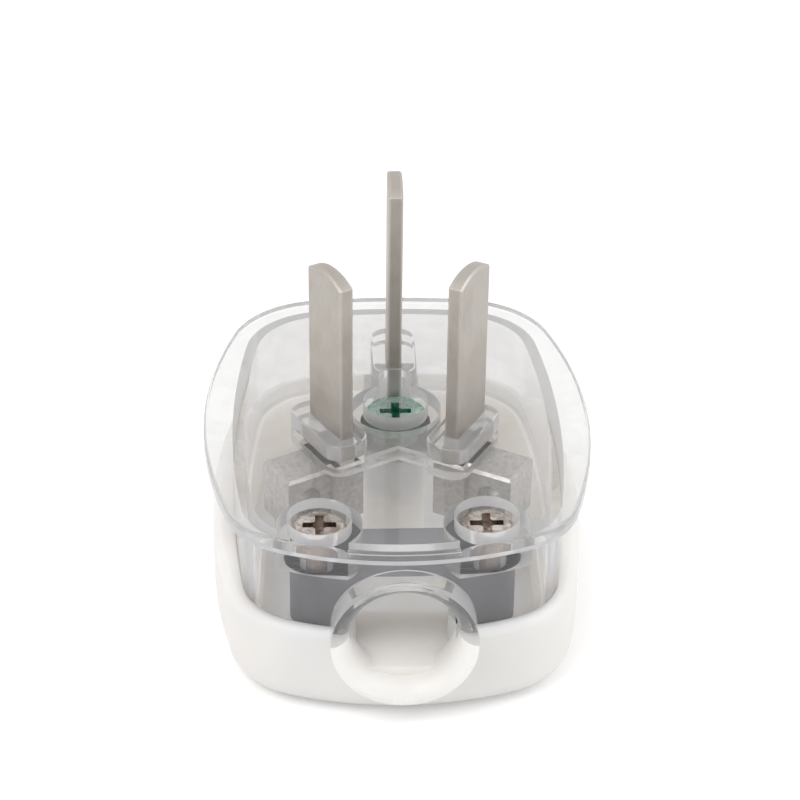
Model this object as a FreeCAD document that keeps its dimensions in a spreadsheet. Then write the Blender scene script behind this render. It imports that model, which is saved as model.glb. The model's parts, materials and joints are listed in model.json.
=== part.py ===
import FreeCAD, Part
import PartDesign
import Sketcher
import math
import os
from FreeCAD import Placement, Rotation, Vector

# A rewirable three-pin plug, standing on its flat back with the pins up.
# Origin: on the back face, under the centre of the pin pattern. +Y points from the cord to the earth pin.

doc = FreeCAD.newDocument("rewirable_plug")

# Driving dimensions in millimetres: name, value, what it is
DIMENSIONS = [
    ("pin_circle", 7.92, "line and neutral pins from the centre of the pattern"),
    ("earth_offset", 10.31, "earth pin from the centre of the pattern"),
    ("blade_width", 6.35, "width of each blade"),
    ("blade_thickness", 1.5, "thickness of each blade"),
    ("blade_length", 17.95, "line and neutral blades above their pads"),
    ("earth_extra", 3.0, "how much longer the earth blade is"),
    ("tip_arch", 0.85, "rise of the rounded blade end"),
    ("blade_chamfer", 0.16, "bevel along the blade edges"),
    ("tail_width", 4.2, "narrowed root of a blade, held in its terminal"),
    ("tail_length", 4.2, "how deep that root goes"),
    ("slot_play", 0.05, "play of a blade in its slot, each side"),
    ("housing_centre", 0.7, "middle of the bowed long sides towards the earth pin"),
    ("flange_side_stand", 3.0, "cover flange out from the wall, long sides"),
    ("flange_near_stand", 1.4, "cover flange out from the wall, over the cord entry"),
    ("flange_far_stand", 1.45, "cover flange out from the wall, beyond the earth pin"),
    ("flange_side_radius", 56.0, "bow of the flange's long sides"),
    ("flange_near_radius", 33.5, "bow of the flange over the cord entry"),
    ("flange_far_radius", 71.0, "bow of the flange beyond the earth pin"),
    ("flange_near_corner", 8.6, "flange corners at the cord end"),
    ("flange_far_corner", 10.5, "flange corners at the earth end"),
    ("terminal_room", 2.025, "space between a live terminal and the side wall"),
    ("neck_near", 22.9, "clear side wall at the cord end, outside"),
    ("earth_room", 5.49, "space between the earth terminal and the far wall"),
    ("neck_side_radius", 105.0, "bow of the wall's long sides"),
    ("neck_near_radius", 33.0, "bow of the wall at the cord end"),
    ("neck_far_radius", 68.0, "bow of the wall at the earth end"),
    ("neck_near_corner", 7.4, "wall corners at the cord end"),
    ("neck_far_corner", 8.8, "wall corners at the earth end"),
    ("shell_side_stand", 2.35, "back shell out from the wall, long sides"),
    ("shell_near_stand", 1.3, "back shell out from the wall, cord end"),
    ("shell_far_stand", 1.3, "back shell out from the wall, earth end"),
    ("shell_side_radius", 70.0, "bow of the shell's long sides"),
    ("shell_near_radius", 35.0, "bow of the shell at the cord end"),
    ("shell_far_radius", 71.0, "bow of the shell at the earth end"),
    ("shell_near_corner", 9.0, "shell corners at the cord end"),
    ("shell_far_corner", 10.2, "shell corners at the earth end"),
    ("face_height", 20.3, "back face to the engaging face"),
    ("cover_rise", 10.3, "seam, where the cord leaves, to the engaging face"),
    ("flange_thickness", 1.7, "clear front plate"),
    ("flange_edge", 0.35, "rounding of the flange rim"),
    ("neck_wall", 1.2, "thickness of the clear side wall"),
    ("neck_tuck", 1.4, "how far that wall goes into the back shell"),
    ("seam_play", 0.1, "play between cover wall and shell"),
    ("shell_ledge", 0.4, "ledge inside the cover wall"),
    ("shell_floor", 2.0, "thickness of the flat back"),
    ("shell_shoulder", 1.0, "rounding at the seam"),
    ("shell_bottom_round", 3.0, "rounding round the back face"),
    ("pad_rise", 1.7, "raised pad round each blade"),
    ("pad_half_width", 2.4, "pad, half across"),
    ("pad_inner", 4.5, "pad from the blade centre towards the cord"),
    ("pad_outer", 5.5, "pad from the blade centre away from the cord"),
    ("pad_corner", 1.9, "corners of a pad"),
    ("pad_edge", 0.35, "rounding of a pad's upper edge"),
    ("socket_drop", 1.0, "same pad continued under the plate"),
    ("cover_screw_end", 2.9, "cover screws from the ends of the clamp"),
    ("cover_screw_set", 2.15, "cover screws behind the near face of the clamp"),
    ("cover_well_radius", 3.2, "bore round each cover screw head"),
    ("cover_boss_radius", 4.25, "outside of each cover screw well"),
    ("cover_head_radius", 2.75, "cover screw head"),
    ("cover_head_sink", 1.0, "cover screw head below the face"),
    ("blade_gap", 0.11, "earth blade root to the centre well"),
    ("centre_well_radius", 3.44, "bore round the centre screw head"),
    ("centre_boss_radius", 4.8, "outside of the centre well"),
    ("centre_head_radius", 3.3, "centre screw head"),
    ("centre_head_sink", 1.3, "centre screw head below the face"),
    ("head_height", 1.9, "height of the screw heads"),
    ("head_round", 0.6, "rounding of the head rim"),
    ("thread_radius", 1.45, "screw thread, outside"),
    ("thread_play", 0.05, "screw thread to its threaded bore"),
    ("hole_play", 0.15, "screw thread to a plain hole"),
    ("recess_reach", 1.65, "cross recess, centre to the end of a wing"),
    ("recess_half_width", 0.42, "cross recess, half the width of a wing"),
    ("recess_depth", 1.1, "depth of the cross recess"),
    ("recess_core", 0.75, "round middle of the cross recess"),
    ("insert_wall", 0.8, "metal of a brass insert round its thread"),
    ("insert_length", 5.0, "brass insert"),
    ("insert_groove", 0.3, "depth of the groove round an insert"),
    ("post_wall", 1.3, "moulded post round a cover screw insert"),
    ("centre_post_wall", 1.0, "moulded post round the centre insert"),
    ("support_radius", 1.7, "moulded prop under a terminal"),
    ("screw_end_gap", 0.6, "screw end above the bottom of its insert"),
    ("collar_radius", 7.25, "cord collar, outside"),
    ("collar_stand", 2.75, "how far the cord collar stands out of the wall"),
    ("collar_lip", 0.4, "front lip of the collar round its mouth"),
    ("bore_radius", 5.4, "cord entry"),
    ("bore_mouth_depth", 2.4, "depth of the rounded mouth"),
    ("bore_floor", 4.35, "flat sill of the entry below its centre"),
    ("clamp_half_width", 11.1, "cord clamp, half across"),
    ("clamp_set", 1.5, "near face of the clamp behind the wall"),
    ("clamp_depth", 6.1, "cord clamp, along the cord"),
    ("clamp_corner", 2.6, "cord clamp corners in plan"),
    ("clamp_arch", 3.7, "clamp over the centre of the cord"),
    ("clamp_arch_half", 5.3, "opening of the clamp, half across"),
    ("clamp_arch_corner", 2.6, "rounded corners of that opening"),
    ("clamp_web", 1.5, "clamp between that opening and the screw wells"),
    ("terminal_half_length", 3.5, "terminal block along the blade"),
    ("terminal_arm_half", 2.6, "wire arm of the block, half along"),
    ("terminal_inboard", 1.75, "block from the blade centre, inward"),
    ("terminal_outboard", 6.6, "block from the blade centre, outward"),
    ("terminal_height", 6.0, "height of a terminal block"),
    ("terminal_edge", 0.3, "bevel of the block's upper edges"),
    ("terminal_wall", 0.8, "metal beyond the end of a blade root"),
    ("wire_bore_radius", 1.3, "bore for the wire"),
    ("wire_bore_set", 2.4, "wire bore from the outer end of the block"),
    ("wire_bore_drop", 2.7, "wire bore below the top of the block"),
    ("earth_block_half", 3.0, "earth terminal, half across"),
    ("earth_block_reach", 7.3, "earth terminal beyond its blade centre"),
    ("strap_thickness", 1.2, "earth strap"),
    ("strap_half_width", 2.9, "earth strap, half across"),
    ("strap_eye_radius", 3.7, "eye of the earth strap"),
    ("clamp_screw_head", 2.3, "terminal screw head"),
    ("rib_thickness", 0.9, "ribs between the two live pads"),
    ("rib_depth", 1.0, "depth of those ribs under the plate"),
]
PIN_TURN = 120.0        # degrees: the two live blades lean towards each other at the cord side
HALF, ROOT = 0.5, math.sqrt(0.75)   # cosine and sine of 60 degrees

sheet = doc.addObject("Spreadsheet::Sheet", "sizes")
sheet.Label = "sizes"


class Length:
    """A size with its number and the expression that gives it in the sheet."""

    def __init__(self, value, text):
        self.value = value
        self.text = text

    def __float__(self):
        return float(self.value)

    def join(self, other, sign, number, flip=False):
        text = other.text if isinstance(other, Length) else repr(float(other))
        pair = (text, self.text) if flip else (self.text, text)
        return Length(number, "(%s %s %s)" % (pair[0], sign, pair[1]))

    def __add__(self, other):
        return self.join(other, "+", self.value + float(other))

    def __radd__(self, other):
        return self.join(other, "+", float(other) + self.value, True)

    def __sub__(self, other):
        return self.join(other, "-", self.value - float(other))

    def __rsub__(self, other):
        return self.join(other, "-", float(other) - self.value, True)

    def __mul__(self, other):
        return self.join(other, "*", self.value * float(other))

    def __rmul__(self, other):
        return self.join(other, "*", float(other) * self.value, True)

    def __truediv__(self, other):
        return self.join(other, "/", self.value / float(other))

    def __neg__(self):
        return Length(-self.value, "(0 - %s)" % self.text)


class Sizes:
    """The named sizes, one attribute for each row of the sheet."""


size = Sizes()
for row, (name, value, meaning) in enumerate(DIMENSIONS, start=1):
    sheet.set("A%d" % row, name)
    sheet.set("B%d" % row, str(value))
    sheet.set("C%d" % row, meaning)
    sheet.setAlias("B%d" % row, name)
    setattr(size, name, Length(value, "sizes." + name))
doc.recompute()


def bind(target, path, length):
    """Tie one property of an object to a size."""
    if isinstance(length, Length):
        target.setExpression(path, length.text)


def new_body(name, at=(0, 0, 0), turn=0.0, axis=Vector(0, 0, 1)):
    """A named piece, standing at its place."""
    body = doc.addObject("PartDesign::Body", name)
    body.Label = name
    body.Placement = Placement(Vector(*[float(length) for length in at]), Rotation(axis, turn))
    for letter, length in zip("xyz", at):
        bind(body, "Placement.Base." + letter, length)
    return body


def sketch_on(body, name, plane="XY_Plane", at=(0, 0, 0), turn=0.0):
    """A sketch on one of the body's own origin planes, shifted in the plane's axes."""
    sketch = body.newObject("Sketcher::SketchObject", body.Name + "_" + name)
    support = [feature for feature in body.Origin.OriginFeatures if feature.Role == plane][0]
    sketch.AttachmentSupport = (support, [""])
    sketch.MapMode = "FlatFace"
    place = Vector(*[float(length) for length in at])
    sketch.AttachmentOffset = Placement(place, Rotation(Vector(0, 0, 1), turn))
    for letter, length in zip("xyz", at):
        bind(sketch, "AttachmentOffset.Base." + letter, length)
    return sketch


def constrain(sketch, kind, *args):
    """Add a constraint whose last argument is a size."""
    index = sketch.addConstraint(Sketcher.Constraint(kind, *args[:-1], float(args[-1])))
    bind(sketch, "Constraints[%d]" % index, args[-1])


def fix_point(sketch, geometry, point, x, y):
    """Place a point of the sketch from the sketch origin."""
    constrain(sketch, "DistanceX", -1, 1, geometry, point, x)
    constrain(sketch, "DistanceY", -1, 1, geometry, point, y)


def draw_circle(sketch, x, y, radius):
    centre = Vector(float(x), float(y), 0)
    index = sketch.addGeometry(Part.Circle(centre, Vector(0, 0, 1), float(radius)), False)
    fix_point(sketch, index, 3, x, y)
    constrain(sketch, "Radius", index, radius)


def draw_polygon(sketch, points):
    """Closed straight-sided outline, every corner placed by its two sizes."""
    places = [Vector(float(x), float(y), 0) for x, y in points]
    count = len(places)
    lines = []
    for i in range(count):
        lines.append(sketch.addGeometry(Part.LineSegment(places[i], places[(i + 1) % count]), False))
    for i in range(count):
        sketch.addConstraint(Sketcher.Constraint("Coincident", lines[i], 2, lines[(i + 1) % count], 1))
    for line, (x, y) in zip(lines, points):
        fix_point(sketch, line, 1, x, y)


def draw_rectangle(sketch, low_x, low_y, high_x, high_y):
    draw_polygon(sketch, [(low_x, low_y), (high_x, low_y), (high_x, high_y), (low_x, high_y)])


def add_arc(sketch, centre, radius, start, end):
    circle = Part.Circle(Vector(centre[0], centre[1], 0), Vector(0, 0, 1), radius)
    return sketch.addGeometry(Part.ArcOfCircle(circle, start, end), False)


def join_tangent(sketch, pieces):
    """Join each piece's end to the next one's start, smoothly."""
    for i, piece in enumerate(pieces):
        following = pieces[(i + 1) % len(pieces)]
        sketch.addConstraint(Sketcher.Constraint("Tangent", piece, 2, following, 1))


def draw_round_box(sketch, low_x, low_y, high_x, high_y, corner):
    """Rectangle with rounded corners."""
    centres = [(high_x - corner, low_y + corner), (high_x - corner, high_y - corner),
               (low_x + corner, high_y - corner), (low_x + corner, low_y + corner)]
    radius = float(corner)
    chain = []
    for i, (x, y) in enumerate(centres):
        start = math.pi / 2 * (i - 1)
        chain.append(add_arc(sketch, (float(x), float(y)), radius, start, start + math.pi / 2))
        next_x, next_y = [float(value) for value in centres[(i + 1) % 4]]
        out = Vector(radius * math.cos(start + math.pi / 2), radius * math.sin(start + math.pi / 2), 0)
        line = Part.LineSegment(Vector(float(x), float(y), 0) + out, Vector(next_x, next_y, 0) + out)
        chain.append(sketch.addGeometry(line, False))
    join_tangent(sketch, chain)
    for arc, (x, y) in zip(chain[::2], centres):
        fix_point(sketch, arc, 3, x, y)
        constrain(sketch, "Radius", arc, corner)


class Outline:
    """Housing outline in plan: two bowed long sides, two bowed ends and four corners, all tangent."""

    def __init__(self, half_width, near, far, side_radius, near_radius, far_radius, near_corner, far_corner):
        self.half_width = half_width
        self.near = near
        self.far = far
        self.side_radius = side_radius
        self.near_radius = near_radius
        self.far_radius = far_radius
        self.near_corner = near_corner
        self.far_corner = far_corner

    def inset(self, amount):
        """The same outline, the same distance inside all round."""
        lengths = (self.half_width, self.near, self.far, self.side_radius, self.near_radius,
                   self.far_radius, self.near_corner, self.far_corner)
        return Outline(*[length - amount for length in lengths])

    def corner_centre(self, end_y, end_radius, corner):
        """Centre of a corner arc at positive x: it touches the side and the end from within."""
        middle = float(size.housing_centre)
        side_x = float(self.half_width) - float(self.side_radius)
        rise = end_y - middle
        reach_side, reach_end = float(self.side_radius) - corner, end_radius - corner
        span = math.hypot(side_x, rise)
        along = (reach_side ** 2 - reach_end ** 2 + span ** 2) / (2 * span)
        across = math.sqrt(reach_side ** 2 - along ** 2)
        unit_x, unit_y = -side_x / span, rise / span
        turn = 1 if rise < 0 else -1
        return (side_x + along * unit_x - turn * across * unit_y,
                middle + along * unit_y + turn * across * unit_x)

    def draw(self, sketch):
        """Draw the outline and tie its arcs to the sizes."""
        middle = size.housing_centre
        side_x = self.half_width - self.side_radius
        far_y, near_y = self.far - self.far_radius, self.near_radius - self.near
        far_x, far_centre = self.corner_centre(float(far_y), float(self.far_radius), float(self.far_corner))
        near_x, near_centre = self.corner_centre(float(near_y), float(self.near_radius),
                                                 float(self.near_corner))
        far_side = math.atan2(far_centre - float(middle), far_x - float(side_x))
        far_end = math.atan2(far_centre - float(far_y), far_x)
        near_side = math.atan2(float(middle) - near_centre, near_x - float(side_x))
        near_end = math.atan2(float(near_y) - near_centre, near_x)
        half, full = math.pi, 2 * math.pi
        side, far_corner, near_corner = self.side_radius, self.far_corner, self.near_corner
        plan = [
            (float(side_x), float(middle), side, -near_side, far_side),
            (far_x, far_centre, far_corner, far_side, far_end),
            (0.0, float(far_y), self.far_radius, far_end, half - far_end),
            (-far_x, far_centre, far_corner, half - far_end, half - far_side),
            (-float(side_x), float(middle), side, half - far_side, half + near_side),
            (-near_x, near_centre, near_corner, half + near_side, half + near_end),
            (0.0, float(near_y), self.near_radius, half + near_end, full - near_end),
            (near_x, near_centre, near_corner, -near_end, -near_side),
        ]
        arcs = [add_arc(sketch, (x, y), float(radius), start, end) for x, y, radius, start, end in plan]
        join_tangent(sketch, arcs)
        for index, x, y in ((0, side_x, middle), (2, 0.0, far_y), (4, -side_x, middle), (6, 0.0, near_y)):
            fix_point(sketch, arcs[index], 3, x, y)
        for index, row in enumerate(plan):
            constrain(sketch, "Radius", arcs[index], row[2])


def finish(body, feature):
    """Recompute a feature and make it the body's tip."""
    doc.recompute()
    if feature.Shape.isNull() or not feature.Shape.isValid():
        raise RuntimeError(feature.Name + " has no valid shape")
    body.Tip = feature
    return feature


def add_pad(body, sketch, length, down=False):
    feature = body.newObject("PartDesign::Pad", sketch.Name + "_pad")
    feature.Profile = sketch
    feature.Length = float(length)
    bind(feature, "Length", length)
    feature.Reversed = down
    sketch.Visibility = False
    return finish(body, feature)


def cut_pocket(body, sketch, depth, up=False):
    """Cut down from the sketch, or up, and prove that it cut."""
    before = body.Tip.Shape.Volume
    feature = body.newObject("PartDesign::Pocket", sketch.Name + "_cut")
    feature.Profile = sketch
    feature.Length = float(depth)
    bind(feature, "Length", depth)
    feature.Reversed = up
    finish(body, feature)
    if feature.Shape.Volume >= before:
        raise RuntimeError(feature.Name + " cuts nothing")
    return feature


def cut_groove(body, sketch, axis):
    before = body.Tip.Shape.Volume
    feature = body.newObject("PartDesign::Groove", sketch.Name + "_cut")
    feature.Profile = sketch
    feature.ReferenceAxis = (sketch, [axis])
    feature.Angle = 360.0
    finish(body, feature)
    if feature.Shape.Volume >= before:
        raise RuntimeError(feature.Name + " cuts nothing")
    return feature


def dress_edges(body, kind, name, amount, chosen):
    """Fillet or Chamfer on the edges that a test picks."""
    base = body.Tip
    picked = ["Edge%d" % (i + 1) for i, edge in enumerate(base.Shape.Edges) if chosen(edge)]
    feature = body.newObject("PartDesign::" + kind, body.Name + "_" + name)
    feature.Base = (base, picked)
    path = "Radius" if kind == "Fillet" else "Size"
    setattr(feature, path, float(amount))
    bind(feature, path, amount)
    return finish(body, feature)


def level(edge, height, tolerance=0.01):
    """True where an edge lies flat at this height."""
    box = edge.BoundBox
    return abs(box.ZMin - float(height)) < tolerance and abs(box.ZMax - float(height)) < tolerance


# Places shared by several pieces
live_x = size.pin_circle * math.cos(math.radians(30))
live_y = size.pin_circle * math.sin(math.radians(30))
PIN_PLACES = {
    "line": (-live_x, -live_y, PIN_TURN),
    "neutral": (live_x, -live_y, -PIN_TURN),
    "earth": (Length(0.0, "0"), size.earth_offset, 90.0),
}
# the wall clears the outer corner of a live terminal and the end of the earth terminal
terminal_reach = live_x + size.terminal_outboard * ROOT + size.terminal_arm_half * HALF
neck_half_width = terminal_reach + size.terminal_room + size.neck_wall
neck_far = size.earth_offset + size.earth_block_reach + size.earth_room + size.neck_wall
NECK = Outline(neck_half_width, size.neck_near, neck_far, size.neck_side_radius, size.neck_near_radius,
               size.neck_far_radius, size.neck_near_corner, size.neck_far_corner)
FLANGE = Outline(neck_half_width + size.flange_side_stand, size.neck_near + size.flange_near_stand,
                 neck_far + size.flange_far_stand, size.flange_side_radius, size.flange_near_radius,
                 size.flange_far_radius, size.flange_near_corner, size.flange_far_corner)
SHELL = Outline(neck_half_width + size.shell_side_stand, size.neck_near + size.shell_near_stand,
                neck_far + size.shell_far_stand, size.shell_side_radius, size.shell_near_radius,
                size.shell_far_radius, size.shell_near_corner, size.shell_far_corner)
shell_height = size.face_height - size.cover_rise
plate_under = size.face_height - size.flange_thickness
boss_bottom = shell_height + size.clamp_arch + size.clamp_web
terminal_top = plate_under - size.socket_drop
terminal_bottom = terminal_top - size.terminal_height
neck_bottom = shell_height - size.neck_tuck
strap_bottom = boss_bottom - size.strap_thickness
earth_bottom = strap_bottom - size.terminal_height
earth_drop = terminal_top - boss_bottom
collar_front = size.neck_near + size.collar_stand
clamp_front = size.neck_near - size.neck_wall - size.clamp_set
wire_bore_offset = size.terminal_outboard - size.wire_bore_set
earth_wire_offset = size.earth_block_reach - size.wire_bore_set * 0.9
clearance_radius = size.thread_radius + size.hole_play
insert_radius = size.thread_radius + size.thread_play + size.insert_wall
centre_screw_y = (size.earth_offset - size.tail_width / 2 - size.blade_gap
                  - size.centre_boss_radius)
cover_screw_x = size.clamp_half_width - size.cover_screw_end
cover_screw_y = clamp_front - size.cover_screw_set
SCREW_PLACES = {"left": (-cover_screw_x, -cover_screw_y), "right": (cover_screw_x, -cover_screw_y)}


def draw_bore_mouth(body, name):
    """Section of the rounded cord mouth, turned about the cord's own axis."""
    sketch = sketch_on(body, name, "YZ_Plane", at=(-collar_front, shell_height, 0))
    depth, narrow, wide = size.bore_mouth_depth, size.bore_radius, size.collar_radius - size.collar_lip
    rise = wide - narrow
    # quarter ellipse as one arc: tangent to the bore inside, wide open at the front
    radius = (rise * rise + depth * depth) / (rise * 2)
    start, end = Vector(0, float(wide), 0), Vector(float(depth), float(narrow), 0)
    centre = Vector(float(depth), float(narrow) + float(radius), 0)
    first = math.atan2(start.y - centre.y, start.x - centre.x)
    arc = add_arc(sketch, (centre.x, centre.y), float(radius), first, -math.pi / 2)
    axis_y = Vector(float(depth), 0, 0)
    drop = sketch.addGeometry(Part.LineSegment(end, axis_y), False)
    base = sketch.addGeometry(Part.LineSegment(axis_y, Vector(-1, 0, 0)), False)
    lip = sketch.addGeometry(Part.LineSegment(Vector(-1, 0, 0), Vector(-1, start.y, 0)), False)
    top = sketch.addGeometry(Part.LineSegment(Vector(-1, start.y, 0), start), False)
    for one, other in ((arc, drop), (drop, base), (base, lip), (lip, top), (top, arc)):
        sketch.addConstraint(Sketcher.Constraint("Coincident", one, 2, other, 1))
    fix_point(sketch, arc, 1, 0.0, wide)
    fix_point(sketch, arc, 2, depth, narrow)
    constrain(sketch, "Radius", arc, radius)
    fix_point(sketch, base, 1, depth, 0.0)
    fix_point(sketch, lip, 1, -1.0, 0.0)
    fix_point(sketch, top, 1, -1.0, wide)
    return sketch


def build_front_cover():
    """Clear moulded cover: flange, side wall, three raised pads, three screw wells, upper half collar."""
    body = new_body("front_cover")
    flange = sketch_on(body, "flange", at=(0, 0, plate_under))
    FLANGE.draw(flange)
    add_pad(body, flange, size.flange_thickness)
    dress_edges(body, "Fillet", "rim", size.flange_edge,
                lambda edge: level(edge, size.face_height) or level(edge, plate_under))
    wells = [(x, y, size.cover_boss_radius, size.cover_well_radius, size.cover_head_sink)
             for x, y in SCREW_PLACES.values()]
    wells.append((0.0, centre_screw_y, size.centre_boss_radius, size.centre_well_radius,
                  size.centre_head_sink))
    for number, (x, y, outer, inner, sink) in enumerate(wells):
        boss = sketch_on(body, "boss%d" % number, at=(0, 0, boss_bottom))
        draw_circle(boss, x, y, outer)
        add_pad(body, boss, plate_under - boss_bottom)
    # the wells end flush with the outside of the wall
    trim = sketch_on(body, "trim", at=(0, 0, boss_bottom))
    NECK.draw(trim)
    FLANGE.inset(-size.flange_thickness).draw(trim)
    cut_pocket(body, trim, plate_under - boss_bottom, up=True)
    neck = sketch_on(body, "neck", at=(0, 0, neck_bottom))
    NECK.draw(neck)
    NECK.inset(size.neck_wall).draw(neck)
    add_pad(body, neck, plate_under - neck_bottom)
    # upper half of the cord collar, standing out of the wall
    collar = sketch_on(body, "collar", "XZ_Plane", at=(0, shell_height, collar_front))
    draw_half_disc(collar, size.collar_radius, 1)
    add_pad(body, collar, size.collar_stand + size.neck_wall * 0.6, down=True)
    # pads above and sockets below the plate, round each blade
    for name, (x, y, turn) in PIN_PLACES.items():
        # a blade's own x axis points away from the cord
        for side, height, rise, down in (("pad", size.face_height, size.pad_rise, False),
                                         ("socket", plate_under, size.socket_drop, True)):
            pad = sketch_on(body, name + "_" + side, at=(x, y, height), turn=turn)
            draw_round_box(pad, -size.pad_inner, -size.pad_half_width, size.pad_outer, size.pad_half_width,
                           size.pad_corner)
            add_pad(body, pad, rise, down)
    dress_edges(body, "Fillet", "pad_edges", size.pad_edge,
                lambda edge: level(edge, size.face_height + size.pad_rise))
    # ribs across the cord ends of the two live pads, meeting in the middle plane
    for side in (-1, 1):
        rib = sketch_on(body, "rib" + ("_left" if side < 0 else "_right"), at=(0, 0, plate_under))
        half = size.rib_thickness / 2
        reach = size.pad_inner - half
        start_x, start_y = live_x - reach * HALF, -live_y - reach * ROOT
        apex_y = start_y + start_x * (HALF / ROOT)
        draw_polygon(rib, [(side * (start_x - half * HALF), start_y - half * ROOT),
                           (side * (start_x + half * HALF), start_y + half * ROOT),
                           (0.0, apex_y + half / ROOT), (0.0, apex_y - half / ROOT)])
        add_pad(body, rib, size.rib_depth, down=True)
    for number, (x, y, outer, inner, sink) in enumerate(wells):
        well = sketch_on(body, "well%d" % number, at=(0, 0, size.face_height + size.pad_rise))
        draw_circle(well, x, y, inner)
        cut_pocket(body, well, size.pad_rise + sink + size.head_height)
        hole = sketch_on(body, "hole%d" % number, at=(0, 0, boss_bottom))
        draw_circle(hole, x, y, clearance_radius)
        cut_pocket(body, hole, size.face_height - boss_bottom, up=True)
    for name, (x, y, turn) in PIN_PLACES.items():
        slot = sketch_on(body, name + "_slot", at=(x, y, size.face_height + size.pad_rise), turn=turn)
        half_x = size.blade_width / 2 + size.slot_play
        half_y = size.blade_thickness / 2 + size.slot_play
        draw_rectangle(slot, -half_x, -half_y, half_x, half_y)
        cut_pocket(body, slot, size.pad_rise + size.flange_thickness + size.socket_drop)
    cut_cord_bore(body, None)
    return body


def draw_half_disc(sketch, radius, side):
    """Half disc above (side 1) or below (side -1) the sketch's x axis."""
    reach = float(radius)
    if side > 0:
        arc = add_arc(sketch, (0, 0), reach, 0, math.pi)
        ends = (Vector(-reach, 0, 0), Vector(reach, 0, 0))
    else:
        arc = add_arc(sketch, (0, 0), reach, math.pi, 2 * math.pi)
        ends = (Vector(reach, 0, 0), Vector(-reach, 0, 0))
    line = sketch.addGeometry(Part.LineSegment(*ends), False)
    sketch.addConstraint(Sketcher.Constraint("Coincident", arc, 2, line, 1))
    sketch.addConstraint(Sketcher.Constraint("Coincident", line, 2, arc, 1))
    fix_point(sketch, arc, 3, 0.0, 0.0)
    constrain(sketch, "Radius", arc, radius)
    sketch.addConstraint(Sketcher.Constraint("Horizontal", line))


def cut_cord_bore(body, sill):
    """Round bore through the near wall, with a rounded mouth and, where given, a flat sill."""
    wall = size.collar_stand + size.neck_wall + size.clamp_set * 0.6
    bore = sketch_on(body, "bore", "XZ_Plane", at=(0, shell_height, collar_front))
    if sill is None:
        draw_circle(bore, 0.0, 0.0, size.bore_radius)
    else:
        radius, drop = float(size.bore_radius), float(sill)
        half = math.sqrt(radius ** 2 - drop ** 2)
        start = math.atan2(-drop, half)
        arc = add_arc(bore, (0, 0), radius, start, math.pi - start)
        line = bore.addGeometry(Part.LineSegment(Vector(-half, -drop, 0), Vector(half, -drop, 0)), False)
        bore.addConstraint(Sketcher.Constraint("Coincident", arc, 2, line, 1))
        bore.addConstraint(Sketcher.Constraint("Coincident", line, 2, arc, 1))
        fix_point(bore, arc, 3, 0.0, 0.0)
        constrain(bore, "Radius", arc, size.bore_radius)
        bore.addConstraint(Sketcher.Constraint("Horizontal", line))
        constrain(bore, "DistanceY", -1, 1, line, 1, -sill)
    cut_pocket(body, bore, wall)
    cut_groove(body, draw_bore_mouth(body, "mouth"), "H_Axis")


def build_back_shell():
    """White moulded back: cup with a rebate for the cover wall, posts, props, cord saddle, lower collar."""
    body = new_body("back_shell")
    outside = sketch_on(body, "outside")
    SHELL.draw(outside)
    add_pad(body, outside, shell_height)
    dress_edges(body, "Fillet", "back_round", size.shell_bottom_round, lambda edge: level(edge, 0.0))
    dress_edges(body, "Fillet", "shoulder", size.shell_shoulder,
                lambda edge: level(edge, shell_height))
    collar = sketch_on(body, "collar", "XZ_Plane", at=(0, shell_height, collar_front))
    draw_half_disc(collar, size.collar_radius, -1)
    add_pad(body, collar, size.collar_stand + size.neck_wall * 0.6, down=True)
    rebate = sketch_on(body, "rebate", at=(0, 0, shell_height))
    NECK.inset(-size.seam_play).draw(rebate)
    cut_pocket(body, rebate, size.neck_tuck)
    cavity = sketch_on(body, "cavity", at=(0, 0, shell_height))
    NECK.inset(size.neck_wall + size.shell_ledge).draw(cavity)
    cut_pocket(body, cavity, shell_height - size.shell_floor)
    for side, (x, y) in SCREW_PLACES.items():
        post = sketch_on(body, "post_" + side, at=(0, 0, size.shell_floor / 2))
        draw_circle(post, x, y, insert_radius + size.post_wall)
        add_pad(body, post, neck_bottom - size.shell_floor / 2)
    post = sketch_on(body, "post_centre", at=(0, 0, size.shell_floor / 2))
    draw_circle(post, 0.0, centre_screw_y, insert_radius + size.centre_post_wall)
    add_pad(body, post, strap_bottom - size.shell_floor / 2)
    for name, (x, y, turn) in PIN_PLACES.items():
        prop = sketch_on(body, "prop_" + name, at=(0, 0, size.shell_floor / 2))
        draw_circle(prop, x, y, size.support_radius)
        top = earth_bottom if name == "earth" else terminal_bottom
        add_pad(body, prop, top - size.shell_floor / 2)
    # block between the posts, level with the sill of the entry, that holds the cord up to the clamp
    saddle = sketch_on(body, "saddle", at=(0, 0, size.shell_floor / 2))
    draw_rectangle(saddle, -cover_screw_x, size.neck_wall - size.neck_near, cover_screw_x,
                   size.clamp_depth - clamp_front)
    add_pad(body, saddle, shell_height - size.bore_floor - size.shell_floor / 2)
    for side, (x, y) in SCREW_PLACES.items():
        seat = sketch_on(body, "seat_" + side, at=(0, 0, neck_bottom))
        draw_circle(seat, x, y, insert_radius)
        cut_pocket(body, seat, size.insert_length)
    seat = sketch_on(body, "seat_centre", at=(0, 0, strap_bottom))
    draw_circle(seat, 0.0, centre_screw_y, insert_radius)
    cut_pocket(body, seat, size.insert_length)
    cut_cord_bore(body, size.bore_floor)
    return body


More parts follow.
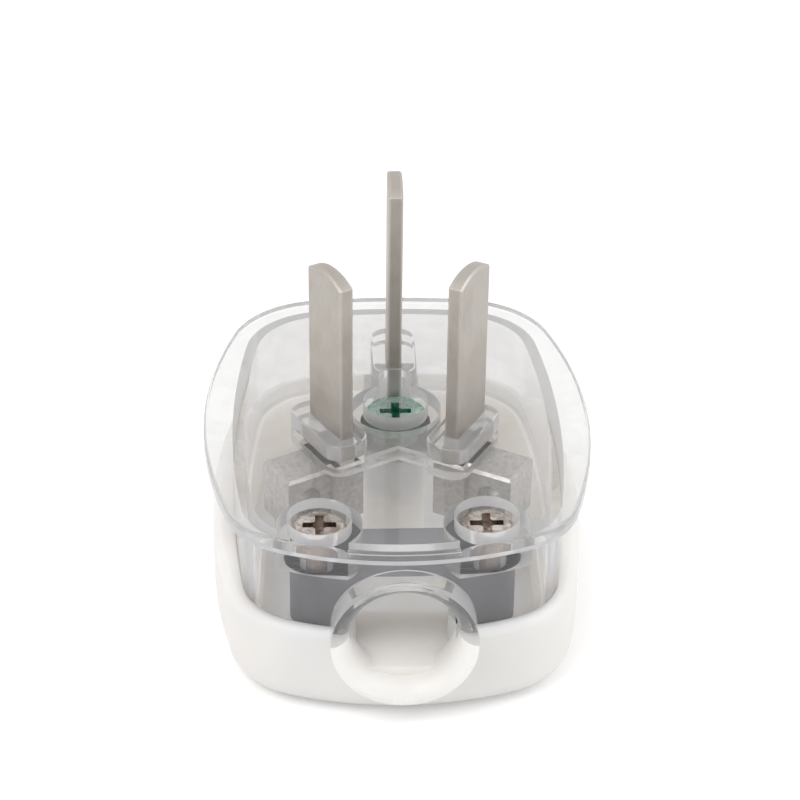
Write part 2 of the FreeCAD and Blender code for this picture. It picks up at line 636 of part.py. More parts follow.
def build_pin(name, x, y, turn, length, tail_length):
    """Flat blade with a rounded end and a narrower root, stamped from strip."""
    body = new_body(name + "_pin", at=(x, y, terminal_top), turn=turn)
    profile = sketch_on(body, "profile", "XZ_Plane", at=(0, 0, -size.blade_thickness / 2))
    half, tail = size.blade_width / 2, size.tail_width / 2
    corner = size.face_height + size.pad_rise + length - size.tip_arch - terminal_top
    radius = (half * half + size.tip_arch * size.tip_arch) / (size.tip_arch * 2)
    centre_z = float(corner) + float(size.tip_arch) - float(radius)
    spread = math.asin(float(half) / float(radius))
    arc = add_arc(profile, (0, centre_z), float(radius), math.pi / 2 - spread, math.pi / 2 + spread)
    corners = [(-half, corner), (-half, 0.0), (-tail, 0.0), (-tail, -tail_length),
               (tail, -tail_length), (tail, 0.0), (half, 0.0), (half, corner)]
    places = [Vector(float(a), float(b), 0) for a, b in corners]
    lines = [profile.addGeometry(Part.LineSegment(places[i], places[i + 1]), False)
             for i in range(len(places) - 1)]
    chain = [arc] + lines
    for i, piece in enumerate(chain):
        following = chain[(i + 1) % len(chain)]
        profile.addConstraint(Sketcher.Constraint("Coincident", piece, 2, following, 1))
    for line, (a, b) in zip(lines, corners):
        fix_point(profile, line, 1, a, b)
    fix_point(profile, lines[-1], 2, half, corner)
    constrain(profile, "Radius", arc, radius)
    add_pad(body, profile, size.blade_thickness)
    inside_slot = float(size.socket_drop + size.flange_thickness)

    def outer_edge(edge):
        box = edge.BoundBox
        thin = box.YMax - box.YMin < 0.01
        return thin and box.ZMax > inside_slot and box.ZMax - box.ZMin > 0.05

    dress_edges(body, "Chamfer", "bevel", size.blade_chamfer, outer_edge)
    return body


def build_terminal(name, x, y, turn):
    """Nickel-plated block: slot for the blade root, bore for the wire, threaded hole for its screw."""
    body = new_body(name + "_terminal", at=(x, y, terminal_bottom), turn=turn)
    plan = sketch_on(body, "plan")
    full, arm = size.terminal_half_length, size.terminal_arm_half
    inner, waist, outer = -size.terminal_inboard, size.terminal_inboard, size.terminal_outboard
    draw_polygon(plan, [(-full, inner), (full, inner), (full, waist), (arm, waist),
                        (arm, outer), (-arm, outer), (-arm, waist), (-full, waist)])
    add_pad(body, plan, size.terminal_height)
    dress_edges(body, "Chamfer", "bevel", size.terminal_edge,
                lambda edge: level(edge, size.terminal_height))
    cut_root_slot(body, size.terminal_height)
    bore_height = size.terminal_height - size.wire_bore_drop
    bore = sketch_on(body, "wire_bore", "YZ_Plane", at=(0, 0, -full))
    draw_circle(bore, wire_bore_offset, bore_height, size.wire_bore_radius)
    cut_pocket(body, bore, full * 2, up=True)
    thread = sketch_on(body, "thread", at=(0, 0, 0))
    draw_circle(thread, 0.0, wire_bore_offset, size.thread_radius + size.thread_play)
    cut_pocket(body, thread, bore_height, up=True)
    return body


def cut_root_slot(body, top):
    """Slot that holds the narrowed root of a blade."""
    slot = sketch_on(body, "root_slot", at=(0, 0, top))
    half_x, half_y = size.tail_width / 2, size.blade_thickness / 2
    draw_rectangle(slot, -half_x, -half_y, half_x, half_y)
    cut_pocket(body, slot, size.tail_length)


def build_earth_terminal():
    """Earth block under the strap, round the root of the earth blade, with its wire bore across the plug."""
    body = new_body("earth_terminal", at=(0, size.earth_offset, earth_bottom))
    plan = sketch_on(body, "plan")
    near = size.tail_width / 2 + size.terminal_wall
    draw_rectangle(plan, -size.earth_block_half, -near, size.earth_block_half, size.earth_block_reach)
    add_pad(body, plan, size.terminal_height)
    slot = sketch_on(body, "root_slot", at=(0, 0, size.terminal_height))
    half_x, half_y = size.blade_thickness / 2, size.tail_width / 2
    draw_rectangle(slot, -half_x, -half_y, half_x, half_y)
    cut_pocket(body, slot, size.tail_length - size.strap_thickness)
    bore_height = size.terminal_height - size.wire_bore_drop
    bore = sketch_on(body, "wire_bore", "YZ_Plane", at=(0, 0, -size.earth_block_half))
    draw_circle(bore, earth_wire_offset, bore_height, size.wire_bore_radius)
    cut_pocket(body, bore, size.earth_block_half * 2, up=True)
    thread = sketch_on(body, "thread")
    draw_circle(thread, 0.0, earth_wire_offset, size.thread_radius + size.thread_play)
    cut_pocket(body, thread, bore_height, up=True)
    return body


def build_earth_strap():
    """Flat strip that ties the earth blade and its block to the centre screw."""
    body = new_body("earth_strap", at=(0, centre_screw_y, strap_bottom))
    reach = size.earth_offset - centre_screw_y
    strip = sketch_on(body, "strip")
    draw_rectangle(strip, -size.strap_half_width, 0.0, size.strap_half_width,
                   reach + size.tail_width / 2 + size.terminal_wall)
    add_pad(body, strip, size.strap_thickness)
    eye = sketch_on(body, "eye")
    draw_circle(eye, 0.0, 0.0, size.strap_eye_radius)
    add_pad(body, eye, size.strap_thickness)
    hole = sketch_on(body, "hole", at=(0, 0, size.strap_thickness))
    draw_circle(hole, 0.0, 0.0, clearance_radius)
    cut_pocket(body, hole, size.strap_thickness)
    slot = sketch_on(body, "slot", at=(0, reach, size.strap_thickness))
    half_x, half_y = size.blade_thickness / 2, size.tail_width / 2
    draw_rectangle(slot, -half_x, -half_y, half_x, half_y)
    cut_pocket(body, slot, size.strap_thickness)
    return body


def build_screw(name, at, head_radius, shank_length, turned=False):
    """Pan-head screw with a cross recess; its origin is under the head."""
    body = new_body(name, at=at, turn=180.0 if turned else 0.0, axis=Vector(1, 0, 0))
    head = sketch_on(body, "head")
    draw_circle(head, 0.0, 0.0, head_radius)
    add_pad(body, head, size.head_height)
    dress_edges(body, "Fillet", "head_round", size.head_round, lambda edge: level(edge, size.head_height))
    shank = sketch_on(body, "shank")
    draw_circle(shank, 0.0, 0.0, size.thread_radius)
    add_pad(body, shank, shank_length, down=True)
    dress_edges(body, "Chamfer", "point", size.thread_radius * 0.25,
                lambda edge: level(edge, -shank_length))
    wing = sketch_on(body, "wing", at=(0, 0, size.head_height))
    draw_rectangle(wing, 0.0, -size.recess_half_width, size.recess_reach, size.recess_half_width)
    cut = cut_pocket(body, wing, size.recess_depth)
    cross = body.newObject("PartDesign::PolarPattern", body.Name + "_cross")
    cross.Originals = [cut]
    cross.Axis = (wing, ["N_Axis"])
    cross.Angle = 360.0
    cross.Occurrences = 4
    finish(body, cross)
    core = sketch_on(body, "core", at=(0, 0, size.head_height))
    draw_circle(core, 0.0, 0.0, size.recess_core)
    cut_pocket(body, core, size.recess_depth * 1.2)
    return body


def build_insert(name, x, y, top):
    """Brass bush moulded into a post, with a groove that keys it."""
    body = new_body(name, at=(x, y, top - size.insert_length))
    section = sketch_on(body, "section", "XZ_Plane")
    inner, outer = size.thread_radius + size.thread_play, insert_radius
    waist = outer - size.insert_groove
    low, high = size.insert_length * 0.4, size.insert_length * 0.6
    draw_polygon(section, [(inner, 0.0), (outer, 0.0), (outer, low), (waist, low), (waist, high),
                           (outer, high), (outer, size.insert_length), (inner, size.insert_length)])
    feature = body.newObject("PartDesign::Revolution", body.Name + "_turned")
    feature.Profile = section
    feature.ReferenceAxis = (section, ["V_Axis"])
    feature.Angle = 360.0
    finish(body, feature)
    return body


def build_cord_clamp():
    """Moulded bar that the cover screws press on the cord, arched over it."""
    body = new_body("cord_clamp")
    plan = sketch_on(body, "plan", at=(0, 0, neck_bottom))
    back = size.clamp_depth - clamp_front
    draw_rectangle(plan, -size.clamp_half_width, -clamp_front, size.clamp_half_width, back)
    add_pad(body, plan, boss_bottom - neck_bottom)

    def upright(edge):
        box = edge.BoundBox
        return box.ZMax - box.ZMin > 0.5 and box.XMax - box.XMin < 0.01

    dress_edges(body, "Fillet", "corners", size.clamp_corner, upright)
    # flat-topped opening for the cord, open at the bottom
    arch = sketch_on(body, "arch", "XZ_Plane", at=(0, neck_bottom, clamp_front))
    top = shell_height + size.clamp_arch - neck_bottom
    draw_round_box(arch, -size.clamp_arch_half, -size.clamp_arch_corner * 2, size.clamp_arch_half, top,
                   size.clamp_arch_corner)
    cut_pocket(body, arch, size.clamp_depth)
    for side, (x, y) in SCREW_PLACES.items():
        hole = sketch_on(body, "hole_" + side, at=(0, 0, boss_bottom))
        draw_circle(hole, x, y, clearance_radius)
        cut_pocket(body, hole, boss_bottom - neck_bottom)
    return body


def build_all():
    pieces = [build_front_cover(), build_back_shell(), build_cord_clamp()]
    for name, (x, y, turn) in PIN_PLACES.items():
        length, tail = size.blade_length, size.tail_length
        if name == "earth":
            length, tail = length + size.earth_extra, tail + earth_drop
        pieces.append(build_pin(name, x, y, turn, length, tail))
    screw_reach = size.terminal_height - size.wire_bore_drop
    for name in ("line", "neutral"):
        x, y, turn = PIN_PLACES[name]
        pieces.append(build_terminal(name, x, y, turn))
        radians = math.radians(turn)
        at = (x - wire_bore_offset * math.sin(radians), y + wire_bore_offset * math.cos(radians),
              terminal_bottom)
        pieces.append(build_screw(name + "_terminal_screw", at, size.clamp_screw_head, screw_reach, True))
    pieces.append(build_earth_terminal())
    pieces.append(build_earth_strap())
    at = (0, size.earth_offset + earth_wire_offset, earth_bottom)
    pieces.append(build_screw("earth_terminal_screw", at, size.clamp_screw_head, screw_reach, True))
    for side, (x, y) in SCREW_PLACES.items():
        under_head = size.face_height - size.cover_head_sink - size.head_height
        end = neck_bottom - size.insert_length + size.screw_end_gap
        pieces.append(build_screw(side + "_cover_screw", (x, y, under_head), size.cover_head_radius,
                                  under_head - end))
        pieces.append(build_insert(side + "_insert", x, y, neck_bottom))
    under_head = size.face_height - size.centre_head_sink - size.head_height
    end = strap_bottom - size.insert_length + size.screw_end_gap
    pieces.append(build_screw("centre_screw", (0, centre_screw_y, under_head),
                              size.centre_head_radius, under_head - end))
    pieces.append(build_insert("centre_insert", 0, centre_screw_y, strap_bottom))
    return pieces


pieces = build_all()
doc.recompute()
for item in doc.Objects:
    if "Invalid" in item.State or "Error" in item.State:
        raise RuntimeError("%s did not build: %s" % (item.Name, item.State))
os.makedirs("parts", exist_ok=True)
for piece in pieces:
    shape = piece.Shape
    if shape.isNull() or not shape.isValid() or len(shape.Solids) != 1:
        raise RuntimeError(piece.Label + " is not one valid solid")
    shape.exportStep("parts/%s.step" % piece.Label)
    box = shape.BoundBox
    print("%-24s volume %8.1f  x %6.2f %6.2f  y %6.2f %6.2f  z %6.2f %6.2f" % (
        piece.Label, shape.Volume, box.XMin, box.XMax, box.YMin, box.YMax, box.ZMin, box.ZMax))
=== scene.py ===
import bpy, bmesh, json, math
from mathutils import Matrix, Vector


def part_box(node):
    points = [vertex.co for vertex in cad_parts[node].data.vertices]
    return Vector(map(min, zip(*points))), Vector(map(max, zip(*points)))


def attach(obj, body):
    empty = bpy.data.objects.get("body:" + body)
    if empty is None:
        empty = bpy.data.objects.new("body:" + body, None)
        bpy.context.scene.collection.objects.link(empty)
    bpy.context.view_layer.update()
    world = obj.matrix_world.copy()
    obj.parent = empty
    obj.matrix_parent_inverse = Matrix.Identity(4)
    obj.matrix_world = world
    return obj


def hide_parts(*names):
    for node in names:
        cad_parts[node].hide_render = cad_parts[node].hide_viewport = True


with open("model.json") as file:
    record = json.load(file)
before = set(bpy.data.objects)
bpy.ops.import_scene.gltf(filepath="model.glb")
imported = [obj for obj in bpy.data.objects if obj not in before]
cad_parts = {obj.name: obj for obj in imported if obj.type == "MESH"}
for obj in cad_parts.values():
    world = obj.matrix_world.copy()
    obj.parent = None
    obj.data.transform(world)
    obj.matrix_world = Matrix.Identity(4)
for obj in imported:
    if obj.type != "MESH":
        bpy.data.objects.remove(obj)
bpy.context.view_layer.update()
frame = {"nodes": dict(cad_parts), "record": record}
nodes = frame["nodes"]
scene = bpy.context.scene
mm = 0.001


# shader maths: a socket that takes part in Python sums
class Wire:
    def __init__(self, shade, socket):
        self.shade, self.socket = shade, socket

    def sum(self, operation, first, second):
        return self.shade.node("ShaderNodeMath", {"operation": operation}, {0: first, 1: second})

    def __add__(self, other):
        return self.sum("ADD", self, other)

    def __radd__(self, other):
        return self.sum("ADD", other, self)

    def __rsub__(self, other):
        return self.sum("SUBTRACT", other, self)

    def __mul__(self, other):
        return self.sum("MULTIPLY", self, other)

    def __rmul__(self, other):
        return self.sum("MULTIPLY", other, self)


class Shade:
    def __init__(self, name, swatch):
        self.material = bpy.data.materials.new(name)
        self.material.use_nodes = True
        self.material.diffuse_color = (*swatch, 1)
        self.tree = self.material.node_tree
        self.tree.nodes.clear()

    def node(self, kind, settings=None, sockets=None, result=0):
        made = self.tree.nodes.new(kind)
        for key, value in (settings or {}).items():
            if key == "stops":
                self.setStops(made.color_ramp, value)
            else:
                setattr(made, key, value)
        for key, value in (sockets or {}).items():
            socket = self.find(made.inputs, key)
            if isinstance(value, Wire):
                self.tree.links.new(value.socket, socket)
            else:
                socket.default_value = value
        return Wire(self, self.find(made.outputs, result)) if made.outputs else made

    def find(self, sockets, key):
        if isinstance(key, int):
            return sockets[key]
        for socket in sockets:
            if socket.identifier == key or socket.name == key:
                return socket
        raise KeyError(key)

    def setStops(self, ramp, stops):
        while len(ramp.elements) < len(stops):
            ramp.elements.new(0.5)
        for element, (place, level) in zip(ramp.elements, stops):
            element.position = place
            element.color = (level, level, level, 1)

    def place(self, stretch=(1, 1, 1)):  # object coordinates, in millimetres, stretched
        spot = self.node("ShaderNodeTexCoord", result="Object")
        scale = tuple(1000 * part for part in stretch)
        return self.node("ShaderNodeMapping", {}, {"Vector": spot, "Scale": scale})

    def noise(self, scale, detail=3.0, stretch=(1, 1, 1), rough=0.5):
        return self.node("ShaderNodeTexNoise", {}, {"Vector": self.place(stretch), "Scale": scale,
                                                    "Detail": detail, "Roughness": rough}, "Fac")

    def ramp(self, value, *stops):
        return self.node("ShaderNodeValToRGB", {"stops": stops}, {"Fac": value})

    def blend(self, amount, first, second):
        return self.node("ShaderNodeMix", {"data_type": "RGBA"},
                         {"Factor_Float": amount, "A_Color": first, "B_Color": second}, "Result_Color")

    def bump(self, height, strength, distance):
        return self.node("ShaderNodeBump", {}, {"Height": height, "Strength": strength,
                                                "Distance": distance}, "Normal")

    def edges(self, radius, samples=6):  # 0 on flats, 1 on edges
        soft = self.node("ShaderNodeBevel", {"samples": samples}, {"Radius": radius})
        true = self.node("ShaderNodeNewGeometry", result="Normal")
        dot = self.node("ShaderNodeVectorMath", {"operation": "DOT_PRODUCT"}, {0: soft, 1: true}, "Value")
        return self.node("ShaderNodeMapRange", {}, {"Value": 1 - dot, "From Min": 0.0, "From Max": 0.16})

    def hollow(self, reach, samples=8):  # 1 deep in a recess, 0 in the open
        return 1 - self.node("ShaderNodeAmbientOcclusion", {"samples": samples}, {"Distance": reach}, "AO")

    def mix(self, amount, first, second):
        return self.node("ShaderNodeMixShader", {}, {0: amount, 1: first, 2: second})

    def close(self, surface):
        self.node("ShaderNodeOutputMaterial", {}, {"Surface": surface})
        return self.material

    def finish(self, sockets):
        return self.close(self.node("ShaderNodeBsdfPrincipled", {}, sockets))


def rgb(red, green, blue):  # screen values 0-255 to linear
    def linear(level):
        level /= 255
        return level / 12.92 if level <= 0.04045 else ((level + 0.055) / 1.055) ** 2.4
    return (linear(red), linear(green), linear(blue), 1)


clearLook = {"tint": rgb(253, 253, 253), "ior": 1.36, "rough": 0.02, "haze": 0.2,
             "milk": rgb(212, 211, 210), "held": 0.6, "heldBandShade": rgb(206, 206, 208),
             "letThrough": rgb(254, 254, 254)}


def milky(shade, colour):
    front = shade.node("ShaderNodeBsdfDiffuse", {}, {"Color": colour})
    through = shade.node("ShaderNodeBsdfTranslucent", {}, {"Color": colour})
    return shade.mix(0.5, front, through)


def makeClear():  # clear glass with a little milk in it; light passes to what is inside
    look, shade = clearLook, Shade("clearMoulding", (0.9, 0.9, 0.93))
    cloud = shade.ramp(shade.noise(0.35, 4.0), (0.3, 0.0), (0.75, 1.0))
    solid = shade.node("ShaderNodeBsdfPrincipled", {}, {
        "Base Color": look["tint"], "Roughness": look["rough"] + cloud * 0.02, "IOR": look["ior"],
        "Transmission Weight": 1.0})
    body = shade.mix(look["haze"] * (0.8 + cloud * 0.4), solid, milky(shade, look["milk"]))
    # light held inside by full reflection is spread a little at every turn, into a dull milky colour:
    # painted shade that darkens the bands where light is held
    turned = shade.node("ShaderNodeMath", {"operation": "GREATER_THAN"}, {
        0: shade.node("ShaderNodeFresnel", {}, {"IOR": look["ior"]}), 1: 0.99})
    inside = shade.node("ShaderNodeNewGeometry", result="Backfacing")
    body = shade.mix(turned * inside * look["held"], body, milky(shade, look["heldBandShade"]))
    path = shade.node("ShaderNodeLightPath", result="Is Shadow Ray")
    spread = Wire(shade, path.socket.node.outputs["Is Diffuse Ray"])
    thin = shade.node("ShaderNodeBsdfTransparent", {}, {"Color": look["letThrough"]})
    either = shade.node("ShaderNodeMath", {"operation": "MAXIMUM"}, {0: path, 1: spread})
    return shade.close(shade.mix(either, body, thin))


whiteLook = {"colour": rgb(238, 234, 230), "shade": rgb(232, 227, 221), "rough": 0.34, "glow": 0.85,
             "depth": 0.007}


def makeWhite():
    look, shade = whiteLook, Shade("whiteMoulding", (0.86, 0.85, 0.82))
    cloud = shade.ramp(shade.noise(0.09, 3.0), (0.35, 0.0), (0.7, 1.0))
    grain = shade.noise(5.0, 5.0)
    return shade.finish({"Base Color": shade.blend(cloud * 0.6, look["colour"], look["shade"]),
                         "Roughness": look["rough"] + grain * 0.1, "IOR": 1.5,
                         "Subsurface Weight": look["glow"], "Subsurface Scale": look["depth"],
                         "Subsurface Radius": (1.0, 0.9, 0.8), "Normal": shade.bump(grain, 0.08, 0.0001)})


slateLook = {"colour": rgb(24, 30, 45), "light": rgb(52, 60, 78), "rough": 0.5}


def makeSlate():
    look, shade = slateLook, Shade("slateMoulding", (0.05, 0.055, 0.07))
    grain = shade.noise(3.0, 5.0)
    worn = shade.edges(0.0003)
    tone = shade.blend(shade.ramp(grain, (0.3, 0.0), (0.75, 0.5)), look["colour"], look["light"])
    return shade.finish({"Base Color": shade.blend(worn * 0.4, tone, look["light"]),
                         "Roughness": look["rough"] + grain * 0.15,
                         "Normal": shade.bump(grain, 0.15, 0.0001)})


bladeLook = {"colour": rgb(186, 181, 175), "stain": rgb(156, 146, 135), "rim": rgb(222, 216, 210),
             "rough": 0.4}


def makeBlade():
    look, shade = bladeLook, Shade("nickelBlade", (0.55, 0.53, 0.5))
    drawn = shade.noise(3.5, 4.0, (6, 6, 0.25))  # fine lines along the blade
    stain = shade.ramp(shade.noise(0.22, 4.0), (0.45, 0.0), (0.8, 1.0))
    tone = shade.blend(stain * 0.6, look["colour"], look["stain"])
    lined = shade.blend(shade.ramp(drawn, (0.3, 0.0), (0.8, 0.4)), tone, look["stain"])
    # painted highlight: the edges are lighter, towards the edge highlight colour
    return shade.finish({"Base Color": shade.blend(shade.edges(0.0004) * 0.6, lined, look["rim"]),
                         "Metallic": 0.9, "Roughness": look["rough"] + drawn * 0.16,
                         "Normal": shade.bump(drawn, 0.06, 0.00006)})


terminalLook = {"colour": rgb(195, 191, 187), "stain": rgb(140, 134, 128), "rough": 0.34}


def makeTerminal():
    look, shade = terminalLook, Shade("nickelBlock", (0.5, 0.48, 0.46))
    cast = shade.noise(1.8, 5.0)
    return shade.finish({"Base Color": shade.blend(shade.ramp(cast, (0.35, 0.0), (0.7, 0.7)),
                                                   look["colour"], look["stain"]),
                         "Metallic": 1.0, "Roughness": look["rough"] + cast * 0.12,
                         "Normal": shade.bump(cast, 0.12, 0.0001)})


screwLook = {"colour": rgb(214, 208, 203), "grime": rgb(112, 82, 62), "rough": 0.2}


def makeScrewSteel():
    look, shade = screwLook, Shade("screwSteel", (0.6, 0.58, 0.55))
    turned = shade.noise(4.0, 4.0)
    # brown patches at random over the head
    brownPatches = shade.ramp(shade.noise(0.9, 4.0), (0.42, 0.0), (0.62, 1.0))
    tone = shade.blend(brownPatches * 0.55, look["colour"], look["grime"])
    # brown darkening deep in the cross recess by occlusion: grime plus painted shade in the recess
    return shade.finish({"Base Color": shade.blend(shade.hollow(0.0009) * 0.7, tone, look["grime"]),
                         "Metallic": 1.0, "Roughness": look["rough"] + turned * 0.12,
                         "Normal": shade.bump(turned + brownPatches * 0.6, 0.22, 0.00012)})


greenLook = {"colour": rgb(70, 156, 132), "deep": rgb(20, 112, 86), "bare": rgb(196, 206, 202)}


def makeGreen():
    look, shade = greenLook, Shade("greenCoat", (0.06, 0.3, 0.2))
    patch = shade.ramp(shade.noise(0.8, 4.0), (0.4, 0.0), (0.62, 1.0))
    worn = shade.ramp(shade.noise(1.3, 4.0), (0.5, 0.0), (0.64, 1.0))
    sunk = shade.ramp(shade.hollow(0.0012), (0.12, 0.0), (0.42, 1.0))
    coat = shade.blend(patch, look["colour"], look["deep"])
    tone = shade.blend(0.25 + sunk * 0.75, look["bare"], coat)
    return shade.finish({"Base Color": shade.blend(worn * 0.5, tone, look["bare"]),
                         "Metallic": 0.8 - sunk * 0.5, "Roughness": 0.24 + patch * 0.12,
                         "Normal": shade.bump(patch, 0.2, 0.0001)})


brassLook = {"colour": rgb(214, 178, 108), "dark": rgb(160, 122, 62)}


def makeBrass():
    look, shade = brassLook, Shade("turnedBrass", (0.6, 0.43, 0.17))
    turned = shade.noise(2.2, 4.0, (0.3, 0.3, 4))
    return shade.finish({"Base Color": shade.blend(shade.ramp(turned, (0.35, 0.0), (0.8, 0.8)),
                                                   look["colour"], look["dark"]),
                         "Metallic": 1.0, "Roughness": 0.26 + turned * 0.1})


screwThread = {"root": 0.00118, "crest": 0.00145, "pitch": 0.0006, "head": 0.0019,
               "depthShare": 1.96, "flankShare": 0.42}  # ridge across its root, half its foot in pitches
meshLook = {"weld": 0.000002, "sliver": 0.000001, "plane": 0.9999995, "crease": 32, "near": 0.00001}


# corner normals: exact on flats, smooth round curves, split at crisp edges
def settleNormals(mesh, angle):
    shape = bmesh.new()
    shape.from_mesh(mesh)
    shape.faces.ensure_lookup_table()
    group, sizes = {}, []
    for seed in shape.faces:  # sheets of faces in one plane
        if seed.index in group:
            continue
        group[seed.index] = len(sizes)
        stack, count = [seed], 0
        while stack:
            face = stack.pop()
            count += 1
            for edge in face.edges:
                for other in edge.link_faces:
                    if other.index not in group and other.normal.dot(seed.normal) > meshLook["plane"]:
                        group[other.index] = len(sizes)
                        stack.append(other)
        sizes.append(count)
    limit = math.cos(math.radians(angle))
    flat = [sizes[group[face.index]] > 2 for face in shape.faces]
    normals = [None] * len(mesh.loops)
    for face in shape.faces:
        for loop in face.loops:
            if flat[face.index]:
                normals[loop.index] = face.normal[:]
                continue
            sheet, total = None, Vector((0, 0, 0))
            for other in loop.vert.link_faces:
                if other.normal.dot(face.normal) < limit:
                    continue
                if flat[other.index]:
                    sheet = other.normal
                else:
                    corner = next(one for one in other.loops if one.vert == loop.vert)
                    total += other.normal * corner.calc_angle()
            normals[loop.index] = (sheet if sheet else total.normalized())[:]
    shape.free()
    mesh.normals_split_custom_set(normals)


def axisOf(node):  # middle of an upright round solid, and its top and bottom
    low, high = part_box(node)
    return (low[0] + high[0]) / 2, (low[1] + high[1]) / 2, low[2], high[2]


def thinShank(shape, node):  # shank down to the root of its thread
    x, y, low, high = axisOf(node)
    for vert in shape.verts:
        if vert.co.z < high - screwThread["head"] - meshLook["near"]:
            vert.co.x = x + (vert.co.x - x) * screwThread["root"] / screwThread["crest"]
            vert.co.y = y + (vert.co.y - y) * screwThread["root"] / screwThread["crest"]


def handIn(name, mesh, node):
    mesh.name = name
    piece = bpy.data.objects.new(name, mesh)
    scene.collection.objects.link(piece)
    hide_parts(node)
    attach(piece, "root")


# a solid of the frame as one smooth mesh
def smoothCopy(node, name, material, angle=meshLook["crease"], reshape=None):
    mesh = nodes[node].data.copy()
    shape = bmesh.new()
    shape.from_mesh(mesh)
    bmesh.ops.remove_doubles(shape, verts=shape.verts, dist=meshLook["weld"])
    bmesh.ops.dissolve_degenerate(shape, edges=shape.edges, dist=meshLook["sliver"])
    if reshape:
        reshape(shape, node)
    shape.to_mesh(mesh)
    shape.free()
    mesh.shade_smooth()
    settleNormals(mesh, angle)
    mesh.materials.clear()
    mesh.materials.append(material)
    handIn(name, mesh, node)


finishes = {"clear_plastic": makeClear(), "white_plastic": makeWhite(), "slate_plastic": makeSlate(),
            "nickel_blade": makeBlade(), "nickel_terminal": makeTerminal(),
            "steel_screw": makeScrewSteel(), "green_screw": makeGreen(), "bare_brass": makeBrass()}
threaded = ("left_cover_screw", "right_cover_screw", "centre_screw")
for entry in frame["record"]["subparts"]:
    node, slotName = entry["node"], entry["material_slot"]
    smoothCopy(node, node + "_shape", finishes[slotName],
               reshape=thinShank if node in threaded else None)
print("pieces and finishes done")


# geometry nodes: group inputs by name, values by identifier
class Rule:
    def __init__(self, name, inputs):
        self.tree = bpy.data.node_groups.new(name, "GeometryNodeTree")
        self.keys = {}
        for label, kind in inputs.items():
            socket = self.tree.interface.new_socket(label, in_out="INPUT", socket_type="NodeSocket" + kind)
            self.keys[label] = socket.identifier
        self.tree.interface.new_socket("Geometry", in_out="OUTPUT", socket_type="NodeSocketGeometry")
        self.entry = self.tree.nodes.new("NodeGroupInput")
        self.exit = self.tree.nodes.new("NodeGroupOutput")

    def ask(self, label):
        return next(out for out in self.entry.outputs if out.identifier == self.keys[label])

    def node(self, kind, settings=None, sockets=None, result=0):
        made = self.tree.nodes.new(kind)
        for key, value in (settings or {}).items():
            setattr(made, key, value)
        for key, value in (sockets or {}).items():
            socket = made.inputs[key]
            if isinstance(value, bpy.types.NodeSocket):
                self.tree.links.new(value, socket)
            else:
                socket.default_value = value
        return made.outputs[result]

    def work(self, operation, first, second):
        return self.node("ShaderNodeMath", {"operation": operation}, {0: first, 1: second})

    def close(self, geometry, material):
        real = self.node("GeometryNodeRealizeInstances", {}, {0: geometry})
        done = self.node("GeometryNodeSetMaterial", {}, {"Geometry": real, "Material": material})
        self.tree.links.new(done, self.exit.inputs[0])

    def bake(self, name, values, node, slot):
        holder = bpy.data.objects.new(name + "_rule", bpy.data.meshes.new(name + "_rule"))
        scene.collection.objects.link(holder)
        modifier = holder.modifiers.new("rule", "NODES")
        modifier.node_group = self.tree
        for label, value in values.items():
            modifier[self.keys[label]] = value
        holder.update_tag()
        ready = holder.evaluated_get(bpy.context.evaluated_depsgraph_get())
        mesh = bpy.data.meshes.new_from_object(ready)
        bpy.data.objects.remove(holder)
        handIn(name, mesh, node)


def threadRule():  # a pointed ridge along a spiral
    rule = Rule("screwRidge", {"Root": "Float", "Crest": "Float", "Pitch": "Float", "Length": "Float",
                               "Place": "Vector", "Finish": "Material"})
    turns = rule.work("DIVIDE", rule.ask("Length"), rule.ask("Pitch"))
    spiral = rule.node("GeometryNodeCurveSpiral", {}, {"Resolution": 28, "Rotations": turns,
                                                       "Start Radius": rule.ask("Root"),
                                                       "End Radius": rule.ask("Root"),
                                                       "Height": rule.ask("Length")})
    upright = rule.node("GeometryNodeSetCurveNormal", {"mode": "Z_UP"}, {0: spiral})
    depth = rule.work("MULTIPLY", rule.work("SUBTRACT", rule.ask("Crest"), rule.ask("Root")),
                      screwThread["depthShare"])
    rise = rule.work("MULTIPLY", rule.ask("Pitch"), screwThread["flankShare"])
    profile = rule.node("GeometryNodeCurvePrimitiveQuadrilateral", {"mode": "KITE"},
                        {"Width": depth, "Bottom Height": rise, "Top Height": rise})
    ridge = rule.node("GeometryNodeCurveToMesh", {}, {"Curve": upright, "Profile Curve": profile,
                                                      "Fill Caps": True})
    placed = rule.node("GeometryNodeTransform", {}, {"Geometry": ridge, "Translation": rule.ask("Place")})
    rule.close(placed, rule.ask("Finish"))
    return rule


ridges = threadRule()
for node in threaded:
    x, y, low, high = axisOf(node)
    slotName = "green_screw" if node == "centre_screw" else "steel_screw"
    margin = screwThread["pitch"]
    ridges.bake(node + "_thread", {
        "Root": screwThread["root"], "Crest": screwThread["crest"], "Pitch": screwThread["pitch"],
        "Length": high - screwThread["head"] - low - 2 * margin, "Place": (x, y, low + margin),
        "Finish": finishes[slotName]}, node, slotName)
print("threads done")

# floor, light and camera
stageLook = {"floorSize": 1.2, "floor": rgb(240, 240, 240), "sink": 0.0002, "lift": 0.22, "world": 0.72,
             "aim": (0, 0, 0.015), "key": {"place": (-0.22, -0.18, 0.42), "size": 0.28, "power": 0.9},
             "fill": {"place": (0.30, -0.05, 0.30), "size": 0.30, "power": 0.45}}


def seenRays(tree):  # 1 for camera, gloss and glass rays
    path = tree.nodes.new("ShaderNodeLightPath")
    total = path.outputs["Is Camera Ray"]
    for name in ("Is Glossy Ray", "Is Transmission Ray"):
        either = tree.nodes.new("ShaderNodeMath")
        either.operation = "MAXIMUM"
        tree.links.new(total, either.inputs[0])
        tree.links.new(path.outputs[name], either.inputs[1])
        total = either.outputs[0]
    return total


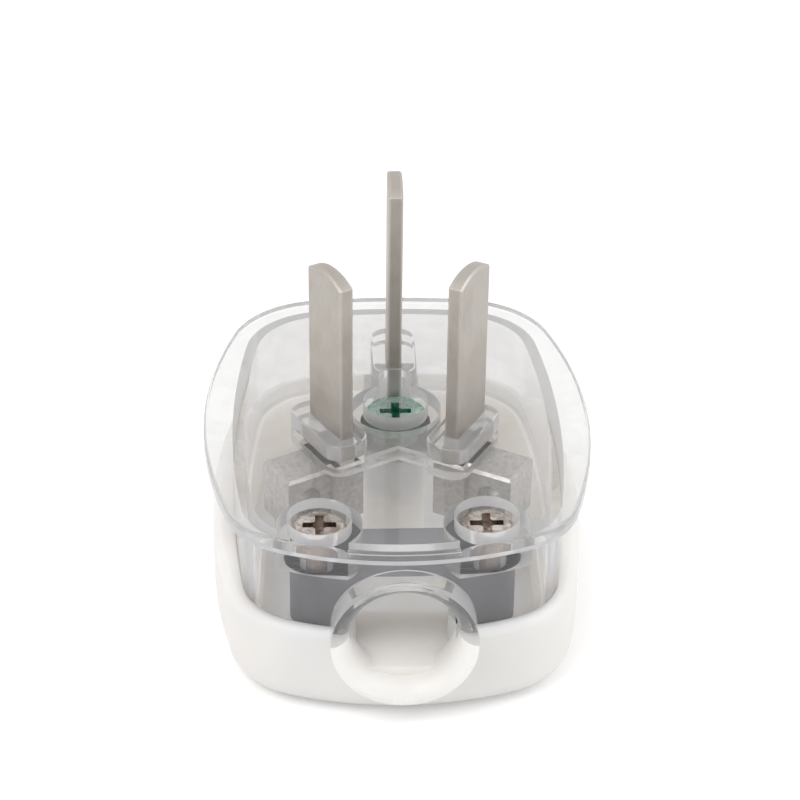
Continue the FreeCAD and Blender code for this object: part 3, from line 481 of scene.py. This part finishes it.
def makePaper(colour, lift):  # lifted to white where it is seen, shadow kept
    shade = Shade("paper", colour[:3])
    diffuse = shade.node("ShaderNodeBsdfDiffuse", {}, {"Color": colour})
    amount = Wire(shade, seenRays(shade.tree)) * lift
    glow = shade.node("ShaderNodeEmission", {}, {"Color": (1, 1, 1, 1), "Strength": amount})
    return shade.close(shade.node("ShaderNodeAddShader", {}, {0: diffuse, 1: glow}))


def buildStage():
    look = stageLook
    half = look["floorSize"] / 2
    mesh = bpy.data.meshes.new("floor")
    corners = [(-half, -half, 0), (half, -half, 0), (half, half, 0), (-half, half, 0)]
    mesh.from_pydata(corners, [], [(0, 1, 2, 3)])
    mesh.materials.append(makePaper(look["floor"], look["lift"]))
    floor = bpy.data.objects.new("floor", mesh)
    floor.location = (0, 0, -look["sink"])
    scene.collection.objects.link(floor)

    world = bpy.data.worlds.new("studio")
    world.use_nodes = True
    scene.world = world
    tree = world.node_tree
    tree.nodes.clear()
    glow = tree.nodes.new("ShaderNodeBackground")
    glow.inputs["Color"].default_value = (1, 1, 1, 1)
    glow.inputs["Strength"].default_value = look["world"]
    white = tree.nodes.new("ShaderNodeBackground")
    white.inputs["Color"].default_value = (1, 1, 1, 1)
    white.inputs["Strength"].default_value = 1.0
    mix = tree.nodes.new("ShaderNodeMixShader")
    out = tree.nodes.new("ShaderNodeOutputWorld")
    tree.links.new(seenRays(tree), mix.inputs["Fac"])
    tree.links.new(glow.outputs[0], mix.inputs[1])
    tree.links.new(white.outputs[0], mix.inputs[2])
    tree.links.new(mix.outputs[0], out.inputs["Surface"])

    for name in ("key", "fill"):
        lamp = bpy.data.lights.new(name + "Lamp", "AREA")
        lamp.shape, lamp.size, lamp.energy = "SQUARE", look[name]["size"], look[name]["power"]
        body = bpy.data.objects.new(name + "Lamp", lamp)
        place = Vector(look[name]["place"])
        body.location = place
        body.rotation_euler = (Vector(look["aim"]) - place).to_track_quat("-Z", "Y").to_euler()
        scene.collection.objects.link(body)


view = {"target": (0, 0, 22.0), "distance": 240.0, "rise": 0.5552, "swing": -0.0422, "roll": 0.0114,
        "focal": 2309.9, "pixels": 800, "sensor": 36,
        "shiftX": 0.0040, "shiftY": 0.0039}  # millimetres, radians and pixels


def buildCamera():
    swing, rise, roll = view["swing"], view["rise"], view["roll"]
    away = Vector((math.sin(swing) * math.cos(rise), -math.cos(swing) * math.cos(rise), math.sin(rise)))
    right = Vector((math.cos(swing), math.sin(swing), 0))
    up = away.cross(right)
    tiltedRight = right * math.cos(roll) + up * math.sin(roll)
    tiltedUp = up * math.cos(roll) - right * math.sin(roll)
    camera = bpy.data.objects.new("camera", bpy.data.cameras.new("camera"))
    camera.data.lens = view["focal"] * view["sensor"] / view["pixels"]
    camera.data.sensor_width = view["sensor"]
    camera.data.shift_x, camera.data.shift_y = view["shiftX"], view["shiftY"]
    camera.data.clip_start, camera.data.clip_end = 0.01, 10
    camera.data.dof.use_dof = False
    turn = Matrix((tiltedRight, tiltedUp, away)).transposed().to_4x4()
    turn.translation = (Vector(view["target"]) + away * view["distance"]) * mm
    camera.matrix_world = turn
    scene.collection.objects.link(camera)
    scene.camera = camera


buildStage()
buildCamera()
scene.view_settings.view_transform = "Standard"
print("stage and camera done")
